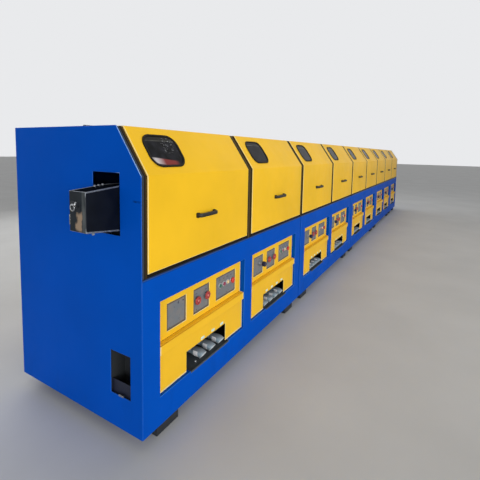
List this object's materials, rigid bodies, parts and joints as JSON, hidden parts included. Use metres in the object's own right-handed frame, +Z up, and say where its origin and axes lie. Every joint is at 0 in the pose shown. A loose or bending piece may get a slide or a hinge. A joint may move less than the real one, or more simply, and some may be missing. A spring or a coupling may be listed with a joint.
{
  "type": "wire drawing machine",
  "caption": "Straight-line wire drawing machine: a row of lift-up hoods with dark windows over a welded base with recessed control panels.",
  "frame": {"origin": "middle of the whole machine's footprint, on the floor", "axes": "+X along the line with the wire, from the inlet box to the far end; +Y from the operator's side to the back; +Z up"},
  "size_m": [10.114, 1.141, 1.722],
  "materials": {
    "blue_paint": "semi-gloss",
    "yellow_paint": "semi-gloss",
    "rubber": "matte",
    "dark_paint": "matte",
    "rib_paint": "satin",
    "plate_steel": "satin",
    "black_plastic": "matte",
    "red_plastic": "gloss",
    "button_plastic": "gloss",
    "galvanised_steel": "satin",
    "dark_steel": "oiled",
    "bright_steel": "polished",
    "drum_steel": "ground",
    "window_glass": "tinted and glossy"
  },
  "bodies": {
    "machine": {"base_section_1": "blue_paint", "base_section_2": "blue_paint", "base_section_3": "blue_paint", "base_section_4": "blue_paint", "base_section_5": "blue_paint", "feet": "dark_paint", "deck_gaskets": "rubber", "near_end_panel": "blue_paint", "far_end_panel": "blue_paint", "rib_frames": "rib_paint", "rib_seals": "rubber", "back_housing": "yellow_paint", "back_covers": "blue_paint", "control_panels": "yellow_paint", "instrument_plates": "plate_steel", "regulators": "black_plastic", "valve_wheels": "red_plastic", "push_buttons": "button_plastic", "stop_buttons": "red_plastic", "lower_covers": "yellow_paint", "coolant_pipes": "galvanised_steel", "drain_troughs": "dark_paint", "inlet_box": "dark_steel", "inlet_roller": "bright_steel", "drawing_drums": "drum_steel", "die_boxes": "dark_steel", "hood_hinges": "dark_steel"},
    "hood_body_1": {"hood_1": "yellow_paint", "window_1": "window_glass", "hood_trim_1": "black_plastic"},
    "hood_body_2": {"hood_2": "yellow_paint", "window_2": "window_glass", "hood_trim_2": "black_plastic"},
    "hood_body_3": {"hood_3": "yellow_paint", "window_3": "window_glass", "hood_trim_3": "black_plastic"},
    "hood_body_4": {"hood_4": "yellow_paint", "window_4": "window_glass", "hood_trim_4": "black_plastic"},
    "hood_body_5": {"hood_5": "yellow_paint", "window_5": "window_glass", "hood_trim_5": "black_plastic"},
    "hood_body_6": {"hood_6": "yellow_paint", "window_6": "window_glass", "hood_trim_6": "black_plastic"},
    "hood_body_7": {"hood_7": "yellow_paint", "window_7": "window_glass", "hood_trim_7": "black_plastic"},
    "hood_body_8": {"hood_8": "yellow_paint", "window_8": "window_glass", "hood_trim_8": "black_plastic"},
    "hood_body_9": {"hood_9": "yellow_paint", "window_9": "window_glass", "hood_trim_9": "black_plastic"}
  },
  "joints": [
    {"name": "hood_1_hinge", "type": "hinge", "parent": "machine", "child": "hood_body_1", "pos_m": [-4.293, 0.1155, 1.711], "axis": [-1, 0, 0], "range_deg": [0, 75]},
    {"name": "hood_2_hinge", "type": "hinge", "parent": "machine", "child": "hood_body_2", "pos_m": [-3.193, 0.1155, 1.711], "axis": [-1, 0, 0], "range_deg": [0, 75]},
    {"name": "hood_3_hinge", "type": "hinge", "parent": "machine", "child": "hood_body_3", "pos_m": [-2.093, 0.1155, 1.711], "axis": [-1, 0, 0], "range_deg": [0, 75]},
    {"name": "hood_4_hinge", "type": "hinge", "parent": "machine", "child": "hood_body_4", "pos_m": [-0.993, 0.1155, 1.711], "axis": [-1, 0, 0], "range_deg": [0, 75]},
    {"name": "hood_5_hinge", "type": "hinge", "parent": "machine", "child": "hood_body_5", "pos_m": [0.107, 0.1155, 1.711], "axis": [-1, 0, 0], "range_deg": [0, 75]},
    {"name": "hood_6_hinge", "type": "hinge", "parent": "machine", "child": "hood_body_6", "pos_m": [1.207, 0.1155, 1.711], "axis": [-1, 0, 0], "range_deg": [0, 75]},
    {"name": "hood_7_hinge", "type": "hinge", "parent": "machine", "child": "hood_body_7", "pos_m": [2.307, 0.1155, 1.711], "axis": [-1, 0, 0], "range_deg": [0, 75]},
    {"name": "hood_8_hinge", "type": "hinge", "parent": "machine", "child": "hood_body_8", "pos_m": [3.407, 0.1155, 1.711], "axis": [-1, 0, 0], "range_deg": [0, 75]},
    {"name": "hood_9_hinge", "type": "hinge", "parent": "machine", "child": "hood_body_9", "pos_m": [4.507, 0.1155, 1.711], "axis": [-1, 0, 0], "range_deg": [0, 75]}
  ]
}
